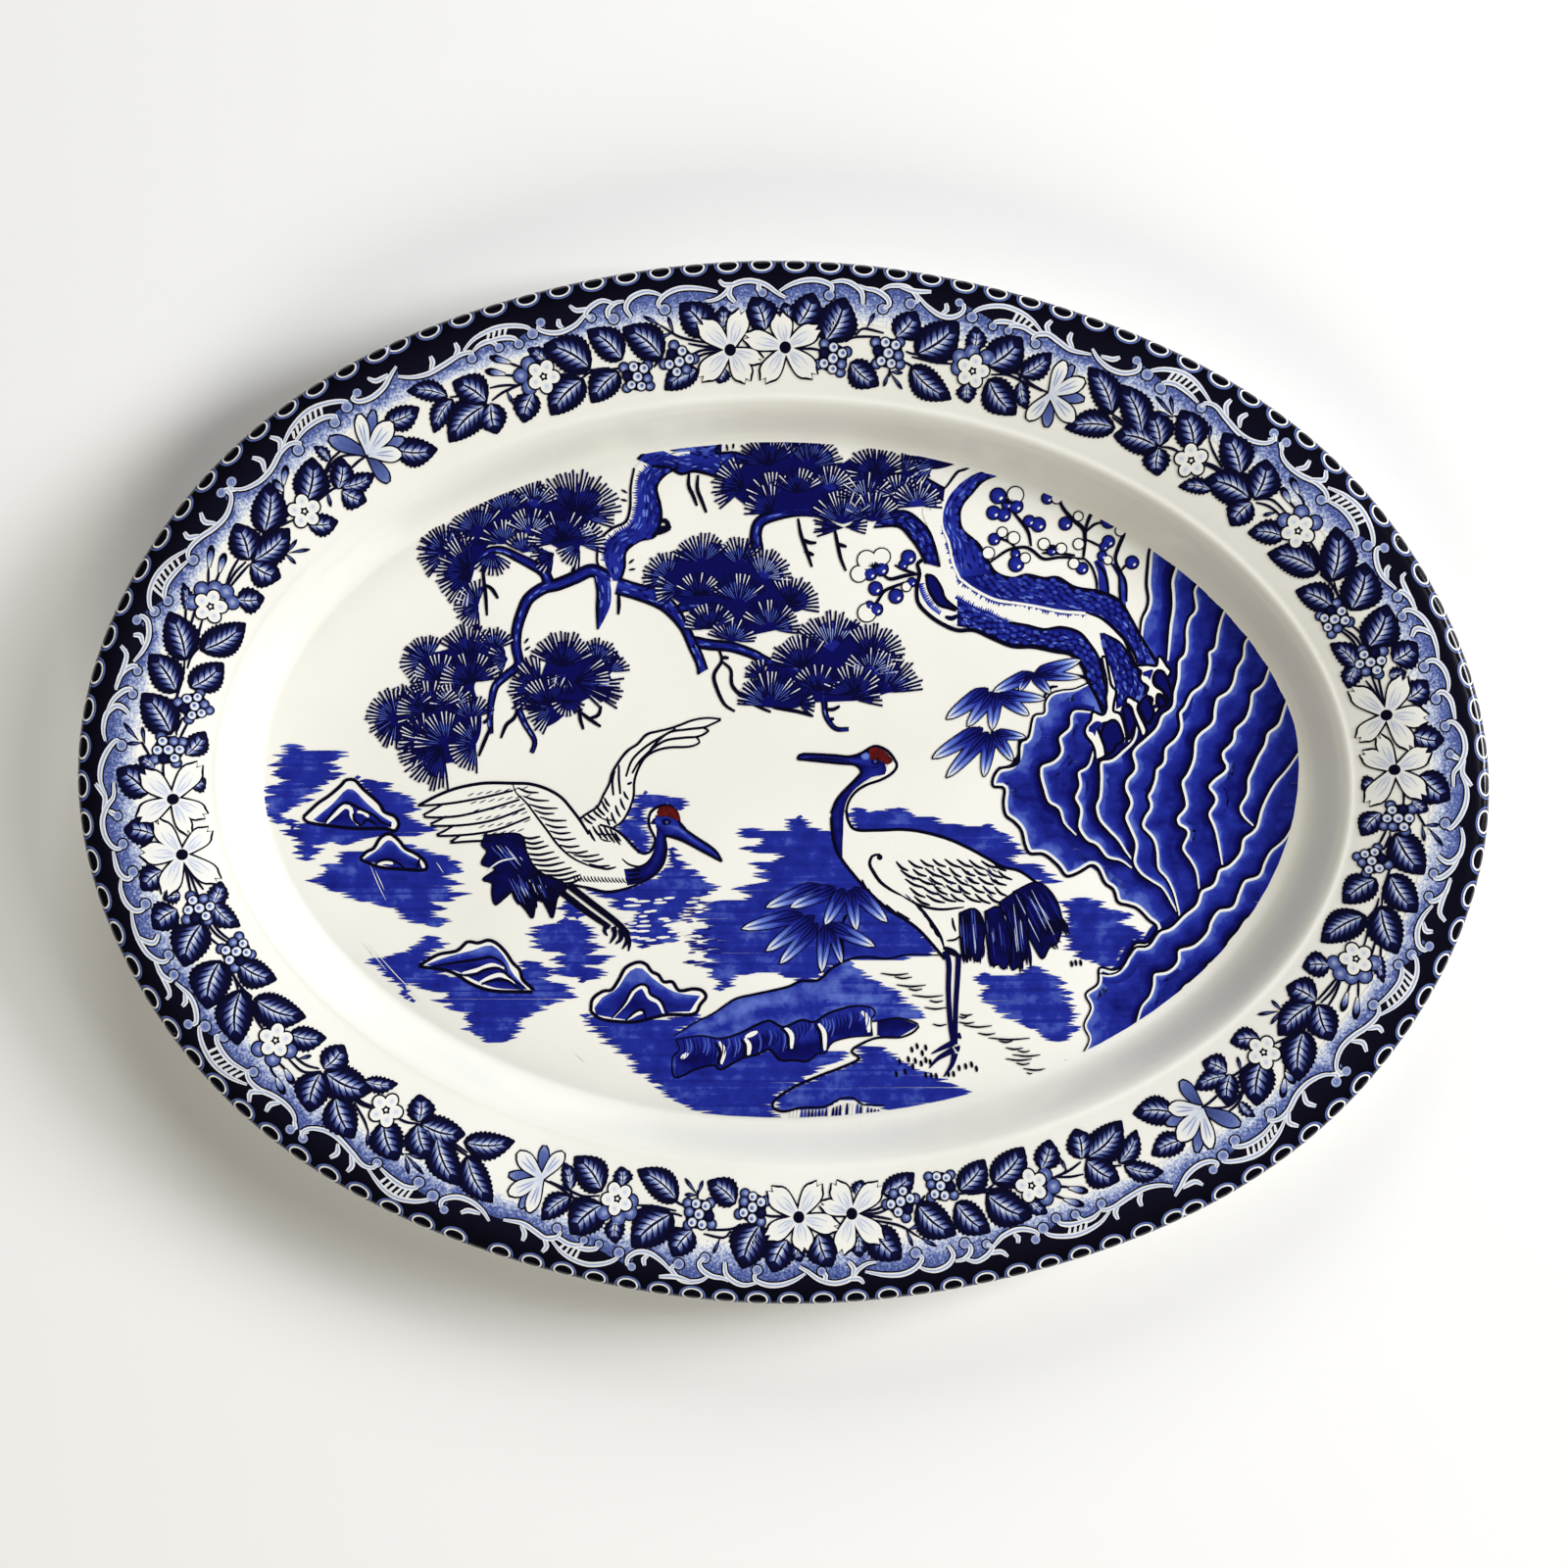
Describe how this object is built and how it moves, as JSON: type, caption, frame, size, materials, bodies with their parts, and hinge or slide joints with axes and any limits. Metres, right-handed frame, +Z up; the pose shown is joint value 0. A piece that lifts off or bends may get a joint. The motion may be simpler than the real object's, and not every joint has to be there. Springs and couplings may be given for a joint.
{
  "type": "serving platter",
  "caption": "Shallow oval serving platter of glazed earthenware with a rolled edge, a printed leaf and flower border and a printed landscape in its well.",
  "frame": {"origin": "centre of the platter on the surface that its foot stands on", "axes": "+X along the platter's length, +Y across it towards the top of the printed picture, +Z up"},
  "size_m": [0.406, 0.3, 0.0302],
  "materials": {
    "glazed_earthenware": "glossy clear lead-type glaze over an ivory white body",
    "border_transfer": "navy underglaze transfer print, glossy",
    "scene_transfer": "ultramarine underglaze transfer print, glossy",
    "red_enamel": "dark red enamel, softly glossy"
  },
  "bodies": {
    "root": {"platter_body": "glazed_earthenware", "border_print_north": "border_transfer", "border_print_south": "border_transfer", "border_print_east": "border_transfer", "border_print_west": "border_transfer", "scene_print": "scene_transfer", "crown_enamel_flying_bird": "red_enamel", "crown_enamel_standing_bird": "red_enamel"}
  },
  "joints": []
}
